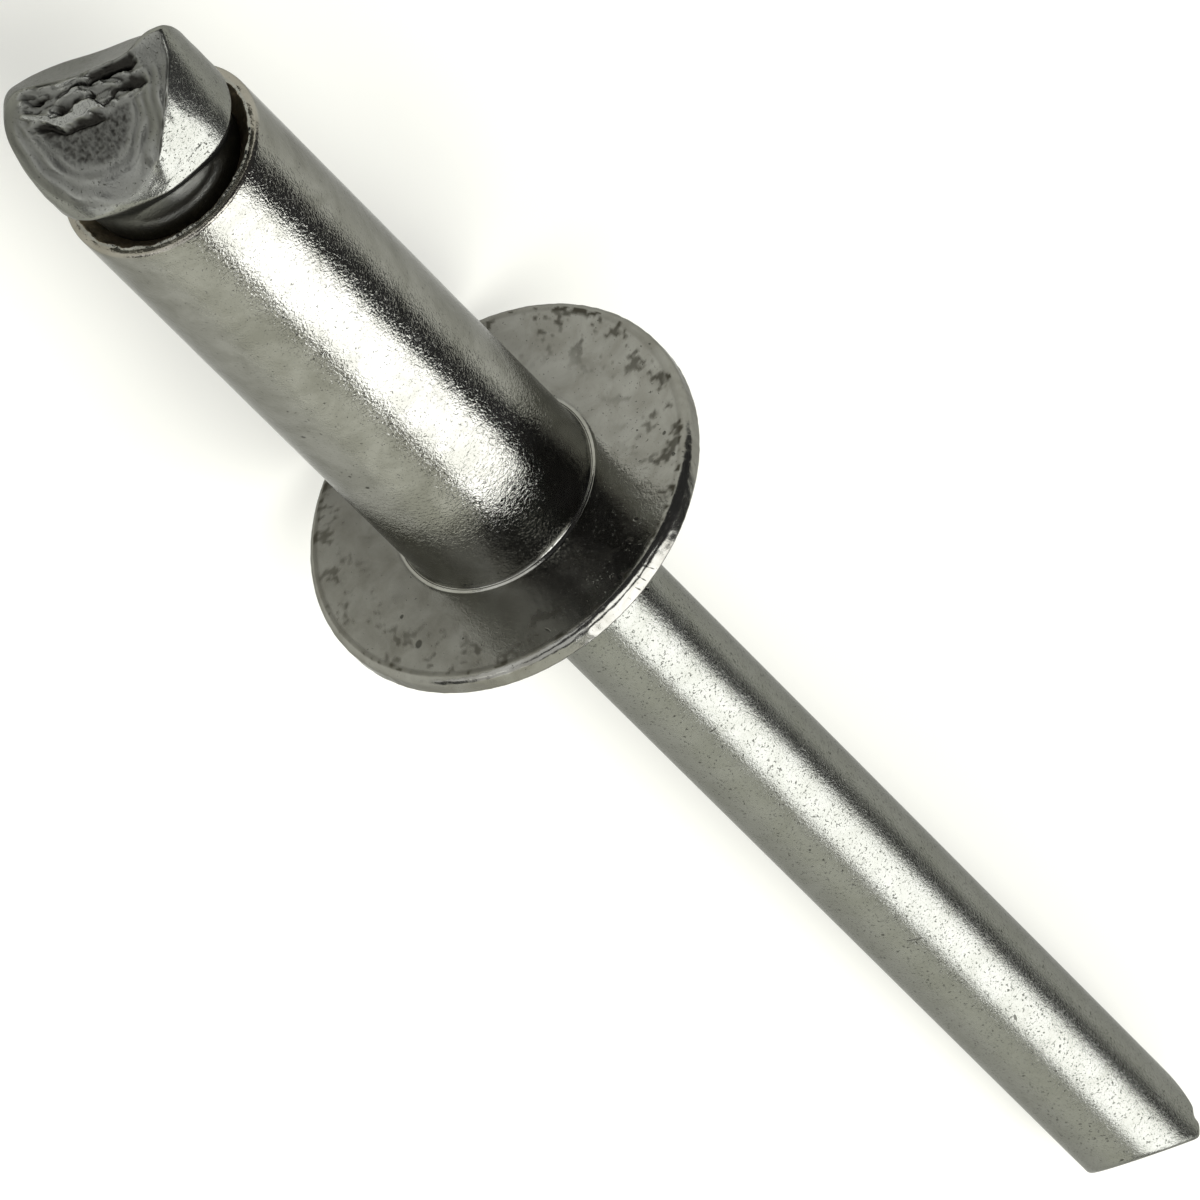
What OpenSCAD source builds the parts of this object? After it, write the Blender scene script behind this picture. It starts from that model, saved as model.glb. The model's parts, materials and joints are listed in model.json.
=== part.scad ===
// Open-end blind rivet with a domed round head, not yet set.
// Two pieces: a cold-formed hollow body and the break-stem mandrel that pulls it up.
// Each piece is drawn standing on its own axis, with the underside of the round head at height 0,
// the shank below it and the mandrel's stem above it. The rivet is then laid down as it rests:
// on the rim of the round head and on the tip of the stem. Millimetres throughout.

/* [Body] */
// Outside diameter of the hollow shank
shank_d = 4.8; // [4.5:0.05:5.2]
// Length of the shank under the round head
shank_len = 14.6; // [8:0.1:25]
// Diameter of the through bore that the stem runs in
bore_d = 3.05; // [3:0.01:3.3]
// Diameter of the flared mouth at the far end of the shank
mouth_d = 4.32; // [4:0.02:4.4]
// Angle between the flare's wall and the axis, in degrees
mouth_angle = 45; // [35:1:60]
// Radius of the fillet between shank and round head
neck_fillet = 0.1; // [0.05:0.01:0.3]

/* [Round head] */
// Diameter of the round head
head_d = 9.57; // [8.5:0.05:11]
// Height of the round head from its underside to its crown
head_h = 1.5; // [1.2:0.05:2.2]
// Height of the rim, from the underside to where the dome starts
rim_h = 0.5; // [0.4:0.02:0.8]
// Radius that breaks the rim's lower edge
rim_round = 0.2; // [0.05:0.01:0.3]
// Depth of the chamfer round the bore in the crown
crown_chamfer = 0.15; // [0.05:0.01:0.3]

/* [Stem] */
// Diameter of the mandrel's stem
stem_d = 2.95; // [2.7:0.01:2.98]
// Length of the stem from the round head's underside to its tip
stem_len = 31; // [24:0.1:45]
// Diameter left at the break notch
notch_d = 2.1; // [1.6:0.05:2.5]
// Depth of the break notch below the shank's far end
notch_depth = 2.4; // [1.5:0.1:5]
// Angle between the notch's flanks and the axis, in degrees
notch_angle = 50; // [35:1:65]

/* [Mandrel head] */
// Diameter of the mandrel's head
button_d = 4.4; // [4.2:0.02:4.8]
// Height of the head's widest edge above the shank's far end
button_edge_h = 0.95; // [0.5:0.05:1.5]
// Height of the pinched ridge above the shank's far end
button_h = 3.45; // [3:0.05:4.5]
// Width of the band on which the head seats in the flared mouth
seat_band = 0.22; // [0.1:0.01:0.35]
// Radius that breaks the head's widest edge
button_round = 0.16; // [0.05:0.01:0.25]
// Depth by which each pinched face is dished
dish = 0.14; // [0.05:0.01:0.3]
// Height of the head's side that remains under the middle of each pinched face
side_h = 0.9; // [0.6:0.05:1.2]
// How far the long flank at one end of the ridge is set in, level with the ridge
flank_set_in = 0.5; // [0.3:0.02:0.7]
// Turn of the long flank about the axis, from the ridge, in degrees
flank_turn = 32; // [10:1:40]
// How far the other end of the ridge is set in, level with the ridge
end_set_in = 0.24; // [0.14:0.02:0.4]
// Height at which both flanks run out into the head's side, above its widest edge
flank_foot = 0.6; // [0.4:0.05:0.8]

/* [Pinch cuts] */
// Turn of both ridges about the axis, from level, in degrees
pinch_turn = 30; // [0:1:60]
// Width of the land along each ridge
ridge_land = 0.14; // [0.05:0.01:0.3]
// Angle between a pinched face of the tip and the axis, in degrees
tip_angle = 37; // [30:1:55]
// How far the tip's ridge lies off the axis
tip_offset = 0.3; // [0:0.02:0.5]
// How far the head's ridge lies off the axis
button_offset = 0.15; // [0:0.02:0.4]
// Radius that breaks the far corner of the tip's ridge
tip_corner = 0.3; // [0.1:0.02:0.5]

/* [Hidden] */
$fn = 96;
margin = 1;                                   // overshoot of a cutting tool past what it cuts
shank_r = shank_d / 2;
bore_r = bore_d / 2;
mouth_r = mouth_d / 2;
head_r = head_d / 2;
stem_r = stem_d / 2;
notch_r = notch_d / 2;
button_r = button_d / 2;
end_round = shank_r - mouth_r;                // the flare leaves only a lip outside it
mouth_depth = (mouth_r - bore_r) / tan(mouth_angle);
dome_rise = head_h - rim_h;
dome_r = (head_r * head_r + dome_rise * dome_rise) / (2 * dome_rise);
far_end = -shank_len;                         // height of the shank's far end
ridge_dir = 90 + pinch_turn;                  // level is along Y, and the piece lies with +X down

// The stem touches the floor where the lower pinched face of the tip cuts its lowest line.
tip_foot = stem_len - (stem_r * cos(pinch_turn) + tip_offset - ridge_land / 2) / tan(tip_angle);
// The tilt is that of the line from there which touches the round head's rim.
rim_span = tip_foot - rim_h;
rim_rise = head_r - stem_r;
rest_tilt = atan(rim_rise / rim_span);
rest_z = stem_r * cos(rest_tilt) + tip_foot * sin(rest_tilt);
rest_x = (shank_len + button_h - stem_len) / 2 * cos(rest_tilt);

// Lays a piece down: its axis along X, the stem's tip towards +X, both ends of the tangent on z = 0.
module laid_down() {
    translate([rest_x, 0, rest_z]) rotate([0, 90 + rest_tilt, 0]) children();
}

// A drilled or turned blank between two heights.
module turned(radius, low, high) {
    translate([0, 0, low]) cylinder(r = radius, h = high - low);
}

// A cone frustum between two heights.
module tapered(low_r, high_r, low, high) {
    translate([0, 0, low]) cylinder(r1 = low_r, r2 = high_r, h = high - low);
}

// Half section of the round head: a dome on a short rim whose lower edge is rounded.
module round_head_section() {
    intersection() {
        translate([0, head_h - dome_r]) circle(r = dome_r, $fn = 360);
        union() {
            square([head_r - rim_round, head_h]);
            translate([0, rim_round]) square([head_r, head_h - rim_round]);
            translate([head_r - rim_round, rim_round]) circle(r = rim_round);
        }
        square([head_r, head_h]);
    }
}

// Half section of the shank: rounded at its far end, with a fillet where it meets the head.
module shank_section() {
    translate([0, far_end]) square([mouth_r, shank_len + rim_h]);
    translate([0, far_end + end_round]) square([shank_r, shank_len + rim_h - end_round]);
    translate([mouth_r, far_end + end_round]) circle(r = end_round);
    difference() {
        translate([0, -neck_fillet]) square([shank_r + neck_fillet, neck_fillet * 2]);
        translate([shank_r + neck_fillet, -neck_fillet]) circle(r = neck_fillet);
    }
}

// Hollow body: headed and extruded from one slug, bored through, flared at the far end.
module rivet_body() {
    color("silver") laid_down() difference() {
        union() {
            rotate_extrude($fn = 192) round_head_section();
            rotate_extrude($fn = 192) shank_section();
        }
        turned(bore_r, far_end - margin, head_h + margin);
        tapered(mouth_r + margin * tan(mouth_angle), bore_r, far_end - margin, far_end + mouth_depth);
        tapered(bore_r, bore_r + crown_chamfer * 2, head_h - crown_chamfer, head_h + crown_chamfer);
    }
}

// The pinched faces of the tip: two flats that leave a narrow land between them.
module tip_pinch() {
    rotate([0, 0, ridge_dir]) translate([0, tip_offset, stem_len])
        for (side = [-1, 1])
            translate([0, side * ridge_land / 2, 0]) rotate([side * (tip_angle - 90), 0, 0])
                translate([-button_d, side < 0 ? -button_d * 2 : 0, 0])
                    cube([button_d * 2, button_d * 2, button_d]);
}

// The far corner of the tip's ridge, worn round in the plane of the ridge.
module tip_corner_round() {
    corner = sqrt(stem_r * stem_r - tip_offset * tip_offset) - tip_corner;
    rotate([0, 0, ridge_dir]) translate([corner, 0, stem_len - tip_corner]) difference() {
        translate([0, -stem_d, 0]) cube([stem_d, stem_d * 2, stem_d]);
        rotate([90, 0, 0]) cylinder(r = tip_corner, h = stem_d * 3, center = true);
    }
}

// One dished face of the mandrel head: the trace of a round-nosed die, lying along the ridge.
module dished_face() {
    run = button_r - ridge_land / 2;
    drop = button_h - button_edge_h - side_h;
    chord = sqrt(run * run + drop * drop);
    die_r = (chord * chord / 4 + dish * dish) / (2 * dish);
    slope = atan(drop / run);
    reach = die_r - dish;
    mid_y = ridge_land / 2 + run / 2 + reach * sin(slope);
    mid_z = -drop / 2 + reach * cos(slope);
    translate([0, mid_y, mid_z]) rotate([0, 90, 0])
        cylinder(r = die_r, h = button_d * 2, center = true, $fn = 360);
}

// A flank at one end of the ridge: a flat that leans out into the head's side.
module flank(set_in) {
    lean = atan(set_in / (button_h - button_edge_h - flank_foot));
    translate([button_r - set_in, 0, 0]) rotate([0, -lean, 0])
        translate([0, -button_d, -button_d]) cube([button_d, button_d * 2, button_d * 2]);
}

// Both dished faces and the flanks at the ends of the ridge, cut into the mandrel head.
module button_pinch() {
    translate([0, 0, far_end - button_h]) rotate([0, 0, ridge_dir]) mirror([0, 0, 1]) {
        translate([0, button_offset, 0]) {
            dished_face();
            mirror([0, 1, 0]) dished_face();
        }
        rotate([0, 0, flank_turn]) flank(flank_set_in);
        rotate([0, 0, 180]) flank(end_set_in);
    }
}

// Half section of the mandrel head, below the shank's far end: a seat cone, a steeper underside and the side.
module button_section() {
    seat_r = bore_r + seat_band;
    seat_low = mouth_depth - seat_band / tan(mouth_angle);
    edge = button_edge_h;
    polygon([
        [0, mouth_depth], [bore_r, mouth_depth], [seat_r, seat_low],
        [button_r - button_round, -edge + button_round / 4], [button_r - button_round, -button_h],
        [0, -button_h],
    ]);
    translate([0, -button_h]) square([button_r, button_h - edge - button_round]);
    translate([button_r - button_round, -edge - button_round]) circle(r = button_round);
}

// Mandrel: drawn wire with a break notch, an upset and pinched head, and a pinched tip.
module mandrel() {
    color("gainsboro") laid_down() difference() {
        union() {
            turned(stem_r, far_end + mouth_depth, stem_len);
            translate([0, 0, far_end]) rotate_extrude($fn = 192) button_section();
        }
        tip_pinch();
        tip_corner_round();
        button_pinch();
        break_notch();
    }
}

// Ring that is cut out of the stem to leave the break notch.
module break_notch() {
    depth = stem_r + margin - notch_r;
    half_w = depth / tan(notch_angle);
    translate([0, 0, far_end + notch_depth]) rotate_extrude($fn = 192)
        polygon([[notch_r, 0], [notch_r + depth, -half_w], [notch_r + depth, half_w]]);
}

rivet_body();
mandrel();
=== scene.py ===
import json
import math

import bmesh
import bpy
import numpy as np
from mathutils import Matrix, Vector, noise


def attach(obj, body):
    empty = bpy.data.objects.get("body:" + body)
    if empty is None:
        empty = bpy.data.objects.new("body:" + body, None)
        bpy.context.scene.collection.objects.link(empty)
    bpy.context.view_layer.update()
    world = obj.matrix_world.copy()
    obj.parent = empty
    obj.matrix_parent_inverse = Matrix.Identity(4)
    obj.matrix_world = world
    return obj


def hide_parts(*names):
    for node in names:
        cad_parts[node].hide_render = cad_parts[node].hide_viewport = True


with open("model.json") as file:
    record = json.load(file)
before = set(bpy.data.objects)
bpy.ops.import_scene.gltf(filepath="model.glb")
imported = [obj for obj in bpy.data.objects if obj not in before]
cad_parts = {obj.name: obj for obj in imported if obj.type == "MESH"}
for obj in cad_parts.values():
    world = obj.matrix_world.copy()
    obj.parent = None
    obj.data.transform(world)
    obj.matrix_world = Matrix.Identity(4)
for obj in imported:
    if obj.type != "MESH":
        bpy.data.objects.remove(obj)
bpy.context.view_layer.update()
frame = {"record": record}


# ---------------------------------------------------------------------------------------------
# Hollow body: a domed round head on a plain tube, one piece of bright low-carbon steel.
# It is headed and extruded cold from one slug, which leaves a fine orange peel on the tube, and
# its far end is punched open and flared, which leaves a thin torn lip round the mouth.

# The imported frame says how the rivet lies: its axis, and the plane of the round head's underside.
MM = 0.001
mounts = {mount["name"]: mount for mount in frame["record"]["mounts"]}
stemward = -Vector(mounts["bearing_face"]["axis"])
on_shank = Vector(mounts["shank"]["pos_m"])
on_underside = Vector(mounts["bearing_face"]["pos_m"])
flange_centre = on_shank + stemward * (on_underside - on_shank).dot(stemward)
level = Vector((0, 1, 0))
downward = level.cross(stemward)
turn = Matrix((downward, level, stemward)).transposed()
lay_down = Matrix.LocRotScale(flange_centre, turn, Vector((MM, MM, MM)))

shank_r = mounts["shank"]["dims"]["r_mm"]
shank_len = 14.6
far_end = -shank_len
bore_r = 1.525
mouth_r = 2.16
mouth_depth = mouth_r - bore_r
head_r = 4.785
head_h = 1.5
rim_h = 0.53
rim_round = 0.2
body_turns = 512


def arc(centre, radius, start, end, steps):
    """Points of a rounded stretch of an outline, from one angle in degrees to another."""
    angles = np.radians(np.linspace(start, end, steps + 1))
    return [(centre[0] + radius * math.cos(t), centre[1] + radius * math.sin(t)) for t in angles]


def spaced(outline, longest):
    """The outline with points put in wherever two of them lie further apart than longest."""
    dense = [outline[0]]
    for start, end in zip(outline, outline[1:]):
        count = max(1, math.ceil(math.dist(start, end) / longest))
        for step in range(1, count + 1):
            share = step / count
            dense.append((start[0] + (end[0] - start[0]) * share, start[1] + (end[1] - start[1]) * share))
    return dense


def spun(outline, turns, ring=False):
    """A half section of (radius, height) points, turned once about the rivet's axis."""
    shape = bmesh.new()
    points = [shape.verts.new((radius, 0, height)) for radius, height in outline]
    edges = [shape.edges.new(pair) for pair in zip(points, points[1:])]
    if ring:
        edges.append(shape.edges.new((points[-1], points[0])))
    bmesh.ops.spin(
        shape, geom=points + edges, cent=(0, 0, 0), axis=(0, 0, 1),
        angle=math.tau, steps=turns, use_merge=True)
    bmesh.ops.remove_doubles(shape, verts=shape.verts, dist=1e-5)
    bmesh.ops.recalc_face_normals(shape, faces=shape.faces)
    return shape


def points_of(shape):
    """Every vertex as a row of x, y, z in millimetres."""
    return np.array([vert.co for vert in shape.verts])


def put_back(shape, points, worn):
    """Moves each vertex to its row, and notes how far the metal is dulled and dirtied there, and where shade is
    painted into its colour.
    """
    layer = shape.verts.layers.float.new("worn")
    for vert, place, share in zip(shape.verts, points, np.clip(worn, 0, 1)):
        vert.co = place
        vert[layer] = share


def rough(points, size, seed, where=None):
    """Smooth noise from -1 to 1 with bumps about size millimetres across, at the points where it is wanted."""
    shift = Vector((seed * 7.3, seed * 3.1, seed * 5.7))
    wanted = np.arange(len(points)) if where is None else np.flatnonzero(where)
    heights = np.zeros(len(points))
    heights[wanted] = [noise.noise(Vector(point) / size + shift) for point in points[wanted]]
    return heights


def bell(values, middle, half_width):
    """1 at the middle, falling off smoothly to either side."""
    return np.exp(-((values - middle) / half_width) ** 2)


def ramp(values, start, end):
    """0 at start, 1 at end, and smooth between them."""
    share = np.clip((values - start) / (end - start), 0, 1)
    return share * share * (3 - 2 * share)


def finished(name, shape, materials):
    """Lays a shape down in the row's frame and makes it an object."""
    bmesh.ops.transform(shape, matrix=lay_down, verts=shape.verts)
    for face in shape.faces:
        face.smooth = True
    mesh = bpy.data.meshes.new(name)
    shape.to_mesh(mesh)
    shape.free()
    for material in materials:
        mesh.materials.append(material)
    made = bpy.data.objects.new(name, mesh)
    bpy.context.scene.collection.objects.link(made)
    return made


# The dome is part of a sphere, and the crown is broken by a small chamfer round the bore.
dome_r = (head_r ** 2 + (head_h - rim_h) ** 2) / (2 * (head_h - rim_h))
crown_r = bore_r + 0.06


def dome_height(radius):
    """Height of the round head's outer side above its underside, at a distance from the axis."""
    return head_h - dome_r + math.sqrt(dome_r ** 2 - radius ** 2)


# A thin raised ring runs round the foot of the tube, and a lip stands proud round the mouth.
ring_r = 2.47
lip_proud = 0.02
body_outline = (
    [(bore_r, dome_height(crown_r) - 0.05)]
    + [(radius, dome_height(radius)) for radius in np.linspace(crown_r, head_r - 0.08, 26)]
    + arc((head_r - 0.08, rim_h - 0.05), 0.08, 60, 0, 4)
    + spaced([(head_r, rim_h - 0.1), (head_r, rim_round + 0.02)], 0.06)
    + arc((head_r - rim_round, rim_round), rim_round, 0, -90, 8)
    + spaced([(head_r - rim_round - 0.03, 0), (ring_r + 0.07, 0)], 0.06)
    + [(ring_r + 0.05, 0.006), (ring_r + 0.03, 0.0), (ring_r + 0.005, -0.03), (ring_r - 0.02, -0.032),
       (ring_r - 0.035, -0.01), (ring_r - 0.05, -0.03), (shank_r, -0.11)]
    + spaced([(shank_r, -0.12), (shank_r, far_end + 0.3)], 0.3)
    + arc((shank_r - 0.1, far_end + 0.1), 0.1, 0, -78, 6)
    + [(mouth_r + 0.09, far_end + 0.004), (mouth_r + 0.06, far_end + 0.002),
       (mouth_r + 0.03, far_end - lip_proud), (mouth_r, far_end - lip_proud)]
    + spaced([(mouth_r - 0.02, far_end + 0.02), (bore_r, far_end + mouth_depth)], 0.06)
    + spaced([(bore_r, far_end + mouth_depth + 0.01), (bore_r, dome_height(crown_r) - 0.06)], 2.5)
)
body_shape = spun(body_outline, body_turns, ring=True)

points = points_of(body_shape)
radius = np.hypot(points[:, 0], points[:, 1])
height = points[:, 2].copy()
outward = points * (1, 1, 0) / radius[:, None]

# The lip is torn: it stands proud here and there, and its edge wanders in and out.
at_lip = bell(radius, mouth_r + 0.02, 0.06) * (height < far_end + 0.15)
torn = at_lip > 0.02
points[:, 2] -= at_lip * (0.04 * rough(outward, 0.12, 1, torn) + 0.02 * rough(outward, 0.035, 2, torn))
wander = 0.05 * rough(outward, 0.16, 3, torn) + 0.03 * rough(outward, 0.04, 4, torn)
points += outward * (at_lip * wander)[:, None]
# The tube and the round head are a little uneven, as cold forming leaves them.
outer = radius > shank_r - 0.01
points += outward * (0.005 * rough(points, 0.9, 5, outer))[:, None]
# The round head sits a hair off centre, and its underside is drawn out in fine hairs.
under_head = (height > -0.2) & (radius > shank_r + 0.02)
points[:, 1] += 0.065 * ramp(radius, 2.6, 3.6) * under_head
underside = (np.abs(height) < 0.01) & (radius > ring_r + 0.06)
hairs = np.stack([outward[:, 0] * 4, outward[:, 1] * 4, radius * 0.16], axis=1)
points[:, 2] += 0.0012 * rough(hairs, 0.1, 6, underside) * ramp(radius, head_r - 0.2, head_r - 0.5)
points[:, 2] += 0.004 * rough(points, 0.8, 7, underside) * ramp(radius, head_r - 0.2, head_r - 0.5)
# The rim's lower edge is bruised where heads have knocked together in the bulk.
at_rim = under_head & (radius > head_r - 0.26)
points += outward * (0.010 * rough(points, 0.16, 8, at_rim))[:, None]
# The flare is left dull and brown by the punch, and dirt sits near the rim of the round head.
flare = (radius < mouth_r + 0.02) & (height < far_end + 1)
body_worn = (
    flare * (0.75 + 0.3 * rough(points, 0.12, 24, flare))
    + 0.2 * (radius > mouth_r + 0.07) * ramp(height, far_end + 0.12, far_end + 0.02) * (height < 0)
    + 0.25 * at_rim
    # Painted shade: the 0.35 term darkens one side of the round head's underside.
    + underside * (0.04 + 0.12 * rough(points, 0.45, 9, underside) + 0.35 * ramp(outward[:, 1], 0.1, -0.5))
    + underside * ramp(radius, 2.8, 4.3) * (0.4 + 0.4 * ramp(outward[:, 1], -0.2, 0.5)) * ramp(
        rough(points, 0.5, 10, underside) + 0.7 * rough(points, 0.14, 26, underside), 0.2, 0.5)
)
points[:, 2] += 0.02 * rough(points, 0.1, 25, flare) * ramp(height, far_end, far_end + 0.08)
put_back(body_shape, points, body_worn)


def linear(hex_colour):
    """An sRGB hex colour as the linear colour that a shader takes."""
    channels = [int(hex_colour[at:at + 2], 16) / 255 for at in (1, 3, 5)]
    return [c / 12.92 if c <= 0.04045 else ((c + 0.055) / 1.055) ** 2.4 for c in channels] + [1]


def add(material, kind, inputs=None, **properties):
    """Adds a node; each input is given by name or number, as a value or as the socket that feeds it."""
    node = material.node_tree.nodes.new("ShaderNode" + kind)
    for name, value in properties.items():
        setattr(node, name, value)
    for name, value in (inputs or {}).items():
        if isinstance(value, bpy.types.NodeSocket):
            material.node_tree.links.new(value, node.inputs[name])
        else:
            node.inputs[name].default_value = value
    return node


patch_mm = 0.9
fleck_mm = 0.06
ripple_mm = 0.3
scratch_mm = 0.004
# Dark colour of flecks and scratch marks, also used for lines of painted shade.
bruise_and_shade = "#2d2d28"
edge_tint = (0.5, 0.5, 0.5, 1)


def steel(name, pale, dark, worn_colour, grain_mm, grain_depth, fleck_from, roughness, worn_roughness, scratches_and_shade_lines):
    """Bright steel: a grey mottle, a fine orange peel, dark flecks, scratch marks where it was knocked, and dark
    lines of painted shade. A per-vertex share mixes in the second colour for wear and dirt and for painted shade.

    Patterns have their real sizes. The edge tint dims the metal where it is seen at a grazing angle.
    """
    material = bpy.data.materials.new(name)
    material.use_nodes = True
    material.node_tree.nodes.clear()
    seen = add(material, "TexCoord").outputs["Object"]
    unturn = turn.transposed()
    # Millimetres, with z along the rivet's axis from the round head's underside.
    where = add(material, "Mapping", {
        "Vector": seen, "Scale": (1 / MM,) * 3, "Rotation": unturn.to_euler("XYZ"),
        "Location": unturn @ flange_centre * (-1 / MM)}).outputs["Vector"]
    worn = add(material, "Attribute", attribute_name="worn").outputs["Fac"]

    patches = add(material, "TexNoise", {
        "Vector": where, "Scale": 1 / patch_mm, "Detail": 6.0, "Roughness": 0.62, "Distortion": 0.5}).outputs["Fac"]
    paler = add(material, "MapRange", {"Value": patches, "From Min": 0.36, "From Max": 0.62}).outputs[0]
    grey = add(material, "Mix", {0: paler, 6: linear(dark), 7: linear(pale)}, data_type="RGBA").outputs[2]
    # Mixed towards the second colour where the metal is dulled and dirtied, and where shade is painted.
    dull_and_shade = add(material, "Mix", {0: worn, 6: grey, 7: linear(worn_colour)}, data_type="RGBA").outputs[2]
    flecks = add(material, "TexNoise", {
        "Vector": where, "Scale": 1 / fleck_mm, "Detail": 1.0, "Distortion": 0.8}).outputs["Fac"]
    flecks = add(material, "Math", {0: worn, 1: -0.1, 2: flecks}, operation="MULTIPLY_ADD").outputs[0]
    flecked = add(material, "MapRange", {
        "Value": flecks, "From Min": fleck_from, "From Max": fleck_from + 0.06}).outputs[0]
    marks = 0.0
    # Each listed mark is a scratch mark, a knock, or a painted line of shade.
    for start, end, half_width in scratches_and_shade_lines:
        run = Vector(end) - Vector(start)
        inside = add(material, "Mapping", {
            "Vector": where, "Location": (Vector(start) + Vector(end)) / 2,
            "Rotation": run.to_track_quat("X", "Z").to_euler(),
            "Scale": (run.length / 2, half_width, half_width)}, vector_type="TEXTURE").outputs["Vector"]
        mark = add(material, "TexGradient", {"Vector": inside}, gradient_type="SPHERICAL").outputs["Fac"]
        marks = add(material, "Math", {0: marks, 1: mark}, operation="MAXIMUM").outputs[0]
    cut_and_shade = add(material, "MapRange", {"Value": marks, "From Min": 0.05, "From Max": 0.35}).outputs[0]
    spoilt_and_shade = add(material, "Math", {0: flecked, 1: cut_and_shade}, operation="MAXIMUM").outputs[0]
    part_spoilt_and_shade = add(material, "Math", {0: spoilt_and_shade, 1: 0.75}, operation="MULTIPLY").outputs[0]
    colour = add(material, "Mix", {0: part_spoilt_and_shade, 6: dull_and_shade, 7: linear(bruise_and_shade)}, data_type="RGBA").outputs[2]

    grain = add(material, "TexNoise", {
        "Vector": where, "Scale": 1 / grain_mm, "Detail": 1.5, "Roughness": 0.6, "Distortion": 1.2}).outputs["Fac"]
    ripple = add(material, "TexNoise", {"Vector": where, "Scale": 1 / ripple_mm, "Detail": 1.0}).outputs["Fac"]
    rise = add(material, "Math", {0: grain, 1: grain_depth}, operation="MULTIPLY").outputs[0]
    rise = add(material, "Math", {0: ripple, 1: grain_depth * 0.45, 2: rise}, operation="MULTIPLY_ADD").outputs[0]
    rise = add(material, "Math", {0: spoilt_and_shade, 1: -scratch_mm, 2: rise}, operation="MULTIPLY_ADD").outputs[0]
    normal = add(material, "Bump", {"Height": rise, "Strength": 1.0, "Distance": MM}).outputs["Normal"]
    dulled = add(material, "Math", {
        0: worn, 1: worn_roughness - roughness, 2: roughness}, operation="MULTIPLY_ADD").outputs[0]
    shader = add(material, "BsdfPrincipled", {
        "Base Color": colour, "Metallic": 1.0, "Roughness": dulled, "Normal": normal,
        "Specular Tint": edge_tint})
    add(material, "OutputMaterial", {"Surface": shader.outputs["BSDF"]})
    return material


# Scratches and knocks, each from one end to the other with its half width, in millimetres.
body_scratches = [
    ((-4.65, 1.12, -0.06), (-4.60, 1.31, 0.53), 0.03), ((-4.70, 0.89, 0.04), (-4.68, 0.98, 0.51), 0.025),
    ((-4.74, 0.68, 0.18), (-4.72, 0.75, 0.53), 0.025), ((-4.20, 0.48, 0), (-4.28, 0.52, 0), 0.05),
    ((-3.52, 1.70, 0), (-3.62, 1.80, 0), 0.05), ((-3.93, -1.32, 0), (-4.14, -1.29, 0), 0.03),
    ((-1.70, -3.60, 0), (-1.50, -3.42, 0), 0.10), ((-0.62, -3.39, 0), (-0.70, -3.32, 0), 0.07),
    ((-2.98, 3.28, 0), (-3.00, 3.38, 0), 0.06), ((-2.30, 3.50, 0), (-2.40, 3.54, 0), 0.06),
    ((-1.22, -2.07, -6.80), (-1.22, -2.07, -6.70), 0.08), ((-1.37, -1.97, -5.05), (-1.37, -1.97, -4.97), 0.05),
    ((-1.50, -1.87, -4.56), (-1.50, -1.87, -4.46), 0.06), ((-2.19, 0.98, -3.25), (-2.10, 1.16, -2.68), 0.03),
]
# Extruded low-carbon steel: the orange peel breaks the edges of a highlight into short bright and dark dashes.
extruded_steel = steel(
    "extruded_steel", "#8d8d88", "#7c7c76", "#a1937d", 0.09, 0.010, 0.70, 0.13, 0.5, body_scratches)
# The round head was pressed between two polished dies, so it is smoother than the tube; its colour is a little
# paler than the tube's, as painted light.
# Its dark second colour also paints shade on one side of the underside.
pressed_steel = steel(
    "pressed_steel", "#959590", "#83827c", "#424039", 0.12, 0.003, 0.70, 0.13, 0.4, body_scratches)
for face in body_shape.faces:
    face.material_index = int(face.calc_center_median().z > -0.1)
body = finished("body", body_shape, [extruded_steel, pressed_steel])
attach(body, "root")
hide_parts("rivet_body")


# ---------------------------------------------------------------------------------------------
# Mandrel: one length of bright drawn wire with an upset head that seats in the body's flared mouth.
# Head and tip are where the wire was pinched off, which leaves two dished faces that meet in a torn
# ridge on the head, and two slanted cuts with a narrow land between them on the tip.

stem_r = 1.475
stem_len = 31.0
notch_r = 1.05
notch_at = far_end + 2.4
button_r = 2.18
button_h = 3.45
seat_out = bore_r + 0.22
pinch_turn = math.radians(30)
pinch_slope = math.radians(41)
pinch_drop, pinch_cos = math.tan(pinch_slope), math.cos(pinch_slope)
mandrel_turns = 320
# The head is shaped outwards from a point on the axis at this height above the body's far end.
heart = 1.1
neck_least = 1.74
near_side = 82
low_side = 137


def smooth_most(values, blend):
    """The larger of several measures, rounded over where two of them are about the same."""
    most = values[0]
    for value in values[1:]:
        near = np.maximum(blend - np.abs(most - value), 0) / blend
        most = np.maximum(most, value) + near * near * blend / 4
    return most


def head_frame(points):
    """How points lie in the mandrel's head: to the side, up, above the far end, along and across the ridge."""
    side, up, high = points[:, 1], -points[:, 0], far_end - points[:, 2]
    along = side * math.cos(pinch_turn) + up * math.sin(pinch_turn)
    across = up * math.cos(pinch_turn) - side * math.sin(pinch_turn)
    return side, up, high, along, across


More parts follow.
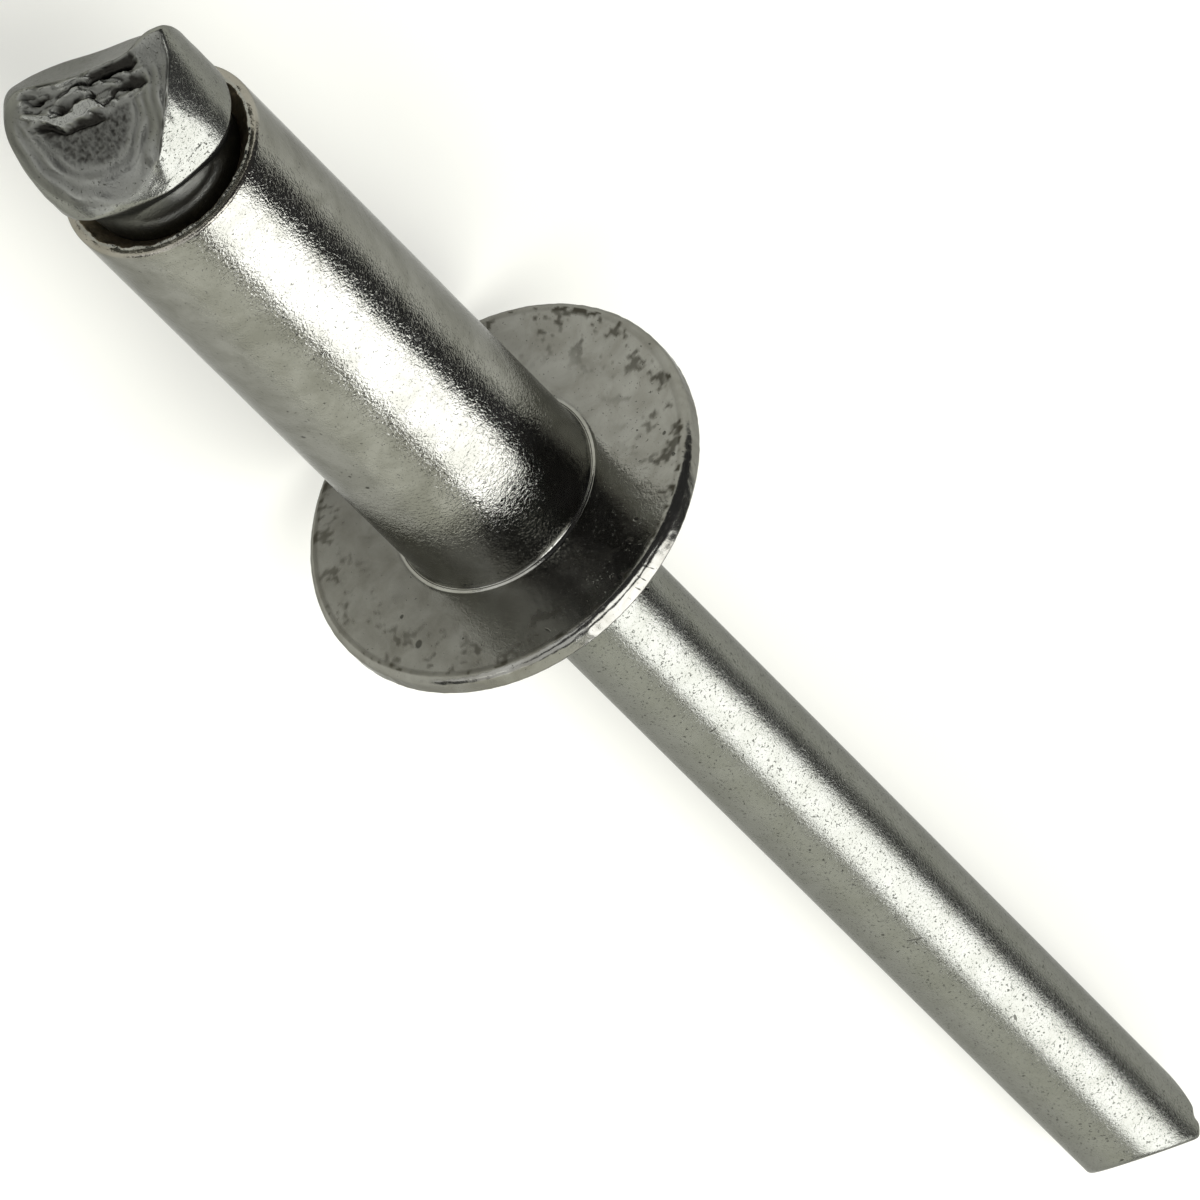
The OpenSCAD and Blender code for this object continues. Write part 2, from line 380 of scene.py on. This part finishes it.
def head_faces(points):
    """How far each point lies outside the pinched faces and the head's side, how crisply they meet, and how far
    into the set-in neck, which is painted dark as shade.

    Bearings are in degrees about the axis, from level.
    """
    side, up, high, along, across = head_frame(points)
    bearing = np.degrees(np.arctan2(up, side))
    # The near face is a dish that climbs towards one end of the ridge, the far face is flatter.
    climb = 0.3 * ramp(along, 0.9, 1.6) * ramp(across, 0.1, 0.9)
    dish = 0.12 * np.clip(across * (2.2 - across), 0, None) / 1.21
    near_face = (high - button_h + pinch_drop * across + dish - climb) * pinch_cos
    left_rise = 0.37 * ramp(along, 0, -1.7)
    right_rise = 0.42 * ramp(along, 0.9, 1.9) * ramp(across, -1.2, -0.3)
    far_dish = 0.06 * np.clip(-across * (2.2 + across), 0, None) / 1.21
    far_face = (high - button_h - pinch_drop * across + far_dish - left_rise - right_rise) * pinch_cos
    shoulder = -0.489 * (along + 1.7) + 0.616 * (across - 0.37) + 0.618 * (high - 3.19)
    end = (high - 2.95 - 1.0 * (along + 2.18)) * 0.707
    faces = smooth_most([smooth_most([near_face, far_face], 0.12), end, shoulder], 0.25)
    # The side is flattened next to the near face, and its widest edge lies higher on the low side.
    flat = 0.3 * bell(bearing, near_side, np.where(bearing < near_side, 29, 38)) * ramp(high, 0, 0.5)
    out = np.hypot((side + 0.03) * 0.97, up)
    wall = out - button_r + flat
    flank = 0.523 * side + 0.838 * up + 0.156 * high - 2.44
    from_low = (bearing - low_side + 180) % 360 - 180
    edge_at = 0.58 + 0.6 * bell(from_low, 0, 44) * ramp(high, -0.2, 0.7)
    # Under its widest edge the head is sharply set in, to a neck that sinks into the flared mouth.
    set_in = 0.04 + 0.4 * (1 - np.exp(np.minimum(high - edge_at, 0.5) / 0.28))
    neck = np.maximum(button_r - flat - set_in, neck_least)
    under = (out - neck) * 0.7
    crisp = ramp(bearing, 101, 88) * ramp(bearing, 14, 32)
    sides = smooth_most([smooth_most([wall, flank], 0.2), under], 0.24)
    return faces, sides, crisp, ramp(under - wall, 0, 0.05)


def head_excess(points):
    """How far each point lies outside the head before its ridge was torn, in millimetres."""
    faces, sides, crisp, _ = head_faces(points)
    bearing = np.degrees(np.arctan2(-points[:, 0], points[:, 1]))
    blend = 0.4 + 0.4 * bell(bearing, 115, 26) - 0.27 * bell(bearing, 12, 20)
    soft = smooth_most([faces, sides], blend)
    sharp = smooth_most([faces, sides], 0.04)
    return soft + (sharp - soft) * crisp


def tear(along, across, starts, width, depth):
    """A tear that runs along the ridge: it slopes down from its starting line, then ends at a step."""
    start = np.interp(along, *zip(*starts))
    width, depth = np.interp(along, *zip(*width)), np.interp(along, *zip(*depth))
    down = np.clip((across - start) / width, 0, 1) * ramp(across, start + width + 0.05, start + width)
    return depth * down


def torn_ridge(points):
    """How far the torn metal along the ridge stands up (+) or is gone (-), and how dulled it is, with painted shade
    darker where it is gone and in the cracks.
    """
    _, _, high, along, across = head_frame(points)
    near_ridge = (np.abs(across - 0.5) < 1.3) & (np.abs(along) < 2) & (high > 1.6)
    grain = np.stack([along * 0.4, across, high * 0.4], axis=1)
    at = along + 0.07 * rough(grain, 0.3, 11, near_ridge)
    over = across + 0.05 * rough(grain, 0.16, 12, near_ridge) + 0.02 * rough(grain, 0.05, 13, near_ridge)
    # The main tear is broad to the right of the middle, a crack in the middle, and a notch at the left.
    gone = tear(
        at, over,
        [(-1.45, 0.12), (-1.3, -0.08), (-0.85, 0.08), (-0.35, 0.07), (0.1, 0.05), (0.3, -0.04), (1.35, -0.06)],
        [(-1.45, 0.1), (-1.2, 0.17), (-0.85, 0.05), (0.05, 0.05), (0.3, 0.18), (0.7, 0.22), (1.35, 0.18)],
        [(-1.42, 0), (-1.1, 0.2), (-0.85, 0.05), (-0.6, 0.01), (-0.3, 0.08),
         (0.3, 0.18), (0.8, 0.24), (1.3, 0.22), (1.38, 0)])
    # The second one lies below it and opens towards the right.
    gone += tear(
        at, over, [(0.0, 0.52), (0.28, 0.45), (0.6, 0.36), (1.18, 0.28), (1.4, 0.33)],
        [(0.1, 0.05), (0.8, 0.08), (1.2, 0.2), (1.45, 0.2)],
        [(0.15, 0), (0.35, 0.1), (1.2, 0.14), (1.4, 0.14), (1.5, 0)])
    # A shallow one at the left ends under the rolled lip.
    gone += tear(
        at, over, [(-0.9, 0.2), (-0.35, 0.22), (0.2, 0.28)],
        [(-0.9, 0.1), (-0.65, 0.22), (-0.4, 0.2), (-0.3, 0.07)],
        [(-0.95, 0), (-0.7, 0.1), (-0.3, 0.07), (0.05, 0.06), (0.2, 0)])
    # A lip of smooth metal is rolled over below the tears.
    lip = np.interp(at, (-1.51, -1.08, -0.79, -0.34, 0.02, 0.22), (0.25, 0.38, 0.52, 0.47, 0.46, 0.52))
    lip_half = np.interp(at, (-1.6, -1.5, -1.1, -0.8, -0.3, 0, 0.25), (0.01, 0.06, 0.08, 0.08, 0.15, 0.12, 0.03))
    on_lip = ramp(np.abs(over - lip), lip_half, lip_half * 0.6) * ramp(at, -1.62, -1.5) * ramp(at, 0.3, 0.2)
    gone += tear(at, over, [(-1.5, 0.3), (-1.08, 0.45), (-0.79, 0.58), (-0.34, 0.6), (0.02, 0.57), (0.3, 0.6)],
                 [(-1.5, 0.1), (0.3, 0.14)], [(-1.4, 0), (-1.1, 0.07), (0, 0.07), (0.35, 0)]) * (1 - on_lip)
    # Small flakes stand up round the tears, and the metal below them is pitted.
    belt = ramp(at, -1.7, -1.4) * ramp(at, 1.55, 1.35) * ramp(over, -0.3, -0.1) * ramp(over, 0.75, 0.5)
    drawn_out = np.stack([along * 0.22, across, high * 0.22], axis=1)
    flakes = np.clip(1 - 3.5 * np.abs(rough(drawn_out, 0.15, 14, near_ridge)), 0, 1)
    cracks = belt * np.clip(1 - 7 * np.abs(rough(drawn_out, 0.09, 17, near_ridge)), 0, 1)
    pitted = ramp(np.hypot(along + 0.2, across - 0.3), 1.25, 1.0) * ramp(over, lip + 0.05, lip + 0.2)
    coarse, fine = rough(points, 0.1, 15, near_ridge), rough(points, 0.055, 16, near_ridge)
    pits = ramp(coarse, -0.2, 0.6) + 0.6 * ramp(fine, -0.1, 0.5)
    off_lip = 1 - on_lip
    rise = 0.07 * on_lip + (0.05 * belt * flakes - 0.03 * cracks) * off_lip - gone - pitted * (0.02 + 0.012 * pits)
    # Painted shade: the colour darkens with the depth of the tears and in the cracks, over the dulled torn metal
    # and its pits.
    dull_and_shade = (0.55 * belt * (1 - flakes) + 8 * gone + 0.5 * cracks) * off_lip + pitted * (0.66 + 0.22 * pits)
    return rise, np.clip(dull_and_shade, 0, 1)


def flow_lines(points):
    """Shallow folds that run round the torn middle of the near face, where the die dragged the metal."""
    _, _, high, along, across = head_frame(points)
    away = np.hypot(along + 0.2, across - 0.3)
    on_face = ramp(across, 0.1, 0.5) * ramp(away, 1.05, 1.25) * ramp(away, 2.2, 1.9) * (high > 1.2)
    phase = (away + 0.10 * rough(points, 0.6, 21, on_face > 0)) / 0.26
    strength = 0.2 + 0.9 * np.abs(rough(points, 0.5, 22, on_face > 0))
    return 0.028 * np.sin(phase * math.tau) * on_face * strength


def cast_out(points, centre, excess):
    """Moves each point along its ray from a centre inside the piece until it lies on the piece's surface."""
    rays = points - centre
    rays /= np.linalg.norm(rays, axis=1)[:, None]
    near, far = np.full(len(rays), 0.2), np.full(len(rays), 4.0)
    for _ in range(26):
        middle = (near + far) / 2
        outside = excess(centre + rays * middle[:, None]) > 0
        far = np.where(outside, middle, far)
        near = np.where(outside, near, middle)
    return centre + rays * far[:, None], rays


def tip_excess(points):
    """How far each point lies outside the tip: two slanted cuts leave a narrow land between them."""
    along = points[:, 1] * math.cos(pinch_turn) - points[:, 0] * math.sin(pinch_turn)
    across = -points[:, 0] * math.cos(pinch_turn) - points[:, 1] * math.sin(pinch_turn)
    past = points[:, 2] - stem_len - 0.07 - 0.1 * along
    wire = np.hypot(points[:, 0], points[:, 1]) - stem_r
    corner = (along + past - 0.84) * 0.707 - 0.24
    cuts = [past * math.sin(tip_slope) + (sign * (across - 0.3) - 0.05) * math.cos(tip_slope) for sign in (1, -1)]
    return smooth_most([wire, corner, past] + cuts, 0.1)


tip_slope = math.radians(37)
head_centre, tip_centre = np.array([0, 0, far_end - heart]), np.array([0, 0, 29.3])
seat_angle = math.degrees(math.atan2(seat_out, heart + mouth_depth - 0.22))
head_steps = np.radians(np.concatenate([np.linspace(0, 100, 140), np.linspace(101.2, 180 - seat_angle, 22)]))
tip_steps = np.radians(np.concatenate([np.linspace(118, 62, 24), np.linspace(61, 0, 62)]))
mandrel_outline = (
    [(math.sin(a), head_centre[2] - math.cos(a)) for a in head_steps]
    + [(bore_r, far_end + mouth_depth - 0.005), (stem_r, far_end + mouth_depth + 0.03)]
    + spaced([(stem_r, far_end + mouth_depth + 0.05), (stem_r, notch_at - 0.36)], 0.6)
    + [(notch_r, notch_at)]
    + spaced([(stem_r, notch_at + 0.36), (stem_r, 28.4)], 1.4)
    + [(math.sin(a), tip_centre[2] + math.cos(a)) for a in tip_steps]
)
mandrel_shape = spun(mandrel_outline, mandrel_turns)

points = points_of(mandrel_shape)
on_head = np.linalg.norm(points - head_centre, axis=1) < 1.001
cast, rays = cast_out(points[on_head], head_centre, head_excess)
faces, sides, _, neck = head_faces(cast)
_, _, high, _, across = head_frame(cast)
rise, torn_dull_and_shade = torn_ridge(cast)
folds = flow_lines(cast)
points[on_head] = cast + rays * (rise + folds + 0.006 * rough(cast, 0.45, 23))[:, None]
# The pinched face is duller towards the ridge. Painted shade darkens the troughs of its folds and painted light
# brightens their crests; the tears are duller torn metal, painted darker with their depth as shade, and the set-in
# neck under the widest edge is painted dark as shade.
mandrel_worn = np.zeros(len(points))
on_face = ramp(faces - sides, -0.06, 0.02)
# Painted shade and light: the folds term darkens the troughs of the folds and lightens their crests.
face_worn = (0.2 + 0.22 * ramp(high, 1.5, 2.3)) * ramp(across, -0.3, 0.1) * ramp(rise, 0.05, 0.02) - 9 * folds
# Painted shade: the neck share darkens the set-in neck under the widest edge.
mandrel_worn[on_head] = np.maximum(0.05 + 0.35 * neck + on_face * face_worn, torn_dull_and_shade)
on_tip = np.linalg.norm(points - tip_centre, axis=1) < 1.001
points[on_tip] = cast_out(points[on_tip], tip_centre, tip_excess)[0]
# A nick at the tip, beside the end of its ridge.
from_nick = np.linalg.norm(points - np.array((-0.70, 1.20, 30.80)), axis=1)
points -= np.array((-0.5, 0.86, 0)) * (0.12 * bell(from_nick, 0, 0.15))[:, None]
put_back(mandrel_shape, points, mandrel_worn)

# Drawn low-carbon wire: duller than the body, so its highlight is softer and peppered with dark flecks.
wire_scratches_and_crease_shade = [
    ((-1.30, -0.69, 18.77), (-1.45, -0.24, 18.77), 0.03), ((-1.33, -0.65, 18.57), (-1.45, -0.25, 18.84), 0.025),
    ((-1.39, -0.48, 18.75), (-1.38, -0.50, 18.89), 0.03), ((-1.473, -0.08, 22.85), (-1.467, -0.15, 23.08), 0.04),
    ((-1.17, -0.90, 18.02), (-1.17, -0.90, 18.12), 0.05), ((-1.45, -0.20, 8.90), (-1.40, -0.44, 8.87), 0.03),
    ((-1.18, 0.89, 4.48), (-1.25, 0.78, 4.15), 0.05), ((-1.29, -0.70, 29.33), (-1.29, -0.70, 29.43), 0.05),
    # The next four marks paint a dark line of shade along the crease of the mandrel's head.
    ((-1.45, 1.45, -17.70), (-1.64, 1.12, -17.49), 0.03), ((-1.62, 1.17, -17.52), (-1.76, 0.77, -17.22), 0.035),
    ((-1.74, 0.82, -17.27), (-1.84, 0.39, -16.87), 0.035), ((-1.82, 0.45, -16.93), (-1.89, 0.00, -16.48), 0.035),
]
# Its dark second colour also paints shade on the head's neck, in the troughs of its folds and in its tears.
drawn_wire = steel(
    "drawn_steel_wire", "#83847f", "#7c7d77", "#252421", 0.07, 0.007, 0.64, 0.25, 0.42, wire_scratches_and_crease_shade)
mandrel = finished("mandrel_pin", mandrel_shape, [drawn_wire])
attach(mandrel, "root")
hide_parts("mandrel")


# ---------------------------------------------------------------------------------------------
# Studio: a pale matt board, a soft box beyond the stem and one overhead, three weaker ones round the
# mandrel's head, and a dim room.

floor_shape = bmesh.new()
bmesh.ops.create_grid(floor_shape, x_segments=1, y_segments=1, size=3)
floor_mesh = bpy.data.meshes.new("floor")
floor_shape.to_mesh(floor_mesh)
floor_shape.free()
floor = bpy.data.objects.new("floor", floor_mesh)
bpy.context.scene.collection.objects.link(floor)

# Matt board: it scatters what falls on it, and is lifted to white where it is looked at or mirrored.
board_lift = 0.36
paper = bpy.data.materials.new("matt_white_board")
paper.use_nodes = True
paper.node_tree.nodes.clear()
matt = add(paper, "BsdfDiffuse", {"Color": linear("#d2d2c8")})
path = add(paper, "LightPath")
mirrored = add(paper, "Math", {0: path.outputs["Is Glossy Ray"], 1: path.outputs["Is Transmission Ray"]},
               operation="MAXIMUM")
looked_at = add(paper, "Math", {0: path.outputs["Is Camera Ray"], 1: mirrored.outputs[0]}, operation="MAXIMUM")
lift = add(paper, "Math", {0: looked_at.outputs[0], 1: board_lift}, operation="MULTIPLY")
glow = add(paper, "Emission", {"Color": linear("#ffffff"), "Strength": lift.outputs[0]})
both = add(paper, "AddShader", {0: matt.outputs[0], 1: glow.outputs[0]})
add(paper, "OutputMaterial", {"Surface": both.outputs[0]})
floor_mesh.materials.append(paper)


def soft_box(name, azimuth, elevation, distance, width, height, brightness, tint=(1, 1, 1)):
    """A soft box that looks at the rivet; angles are in degrees, and brightness 1 is seen as white."""
    light = bpy.data.lights.new(name, "AREA")
    light.shape = "RECTANGLE"
    light.size, light.size_y = width, height
    light.energy = brightness * math.pi * width * height
    light.color = tint
    lamp = bpy.data.objects.new(name, light)
    bearing, climb = math.radians(azimuth), math.radians(elevation)
    toward = Vector((math.cos(bearing) * math.cos(climb), math.sin(bearing) * math.cos(climb), math.sin(climb)))
    lamp.location = toward * distance
    lamp.rotation_euler = toward.to_track_quat("Z", "Y").to_euler()
    bpy.context.scene.collection.objects.link(lamp)


soft_box("key", 9.6, 35.3, 1.2, 0.9, 0.9, 5.0)
soft_box("side_fill", -46, 20, 1.4, 1.25, 0.98, 1.28, (1, 1, 0.88))
soft_box("left_fill", -92, 45, 1.4, 1.2, 1.45, 1.35)
soft_box("low_fill", 222, 18, 1.4, 1.6, 0.8, 1.55)
soft_box("top", 150, 80, 1.6, 1.0, 1.0, 4.6)

world = bpy.data.worlds.new("dim_room")
world.use_nodes = True
world.node_tree.nodes["Background"].inputs["Color"].default_value = (0.068, 0.068, 0.07, 1)
bpy.context.scene.world = world

# The camera looks down on the rivet from behind the mandrel's head, with a long lens.
frame_px = 1200
focal_px = 16675.3
centre_px = (494.71, 492.44)
depth = 0.36496
off_axis = math.radians(43)
roll = math.radians(44.861)
upward = -downward
forward = stemward * math.cos(off_axis) - upward * math.sin(off_axis)
over = stemward * math.sin(off_axis) + upward * math.cos(off_axis)
right = over * math.cos(roll) + level * math.sin(roll)
under = over * math.sin(roll) - level * math.cos(roll)
side_step = (centre_px[0] - frame_px / 2) / focal_px
down_step = (centre_px[1] - frame_px / 2) / focal_px

camera_data = bpy.data.cameras.new("camera")
camera_data.sensor_width = 36
camera_data.lens = focal_px * camera_data.sensor_width / frame_px
camera = bpy.data.objects.new("camera", camera_data)
stand = flange_centre - (right * side_step + under * down_step + forward) * depth
camera.matrix_world = Matrix.Translation(stand) @ Matrix((right, -under, -forward)).transposed().to_4x4()
bpy.context.scene.collection.objects.link(camera)
bpy.context.scene.camera = camera

bpy.context.scene.view_settings.view_transform = "Standard"
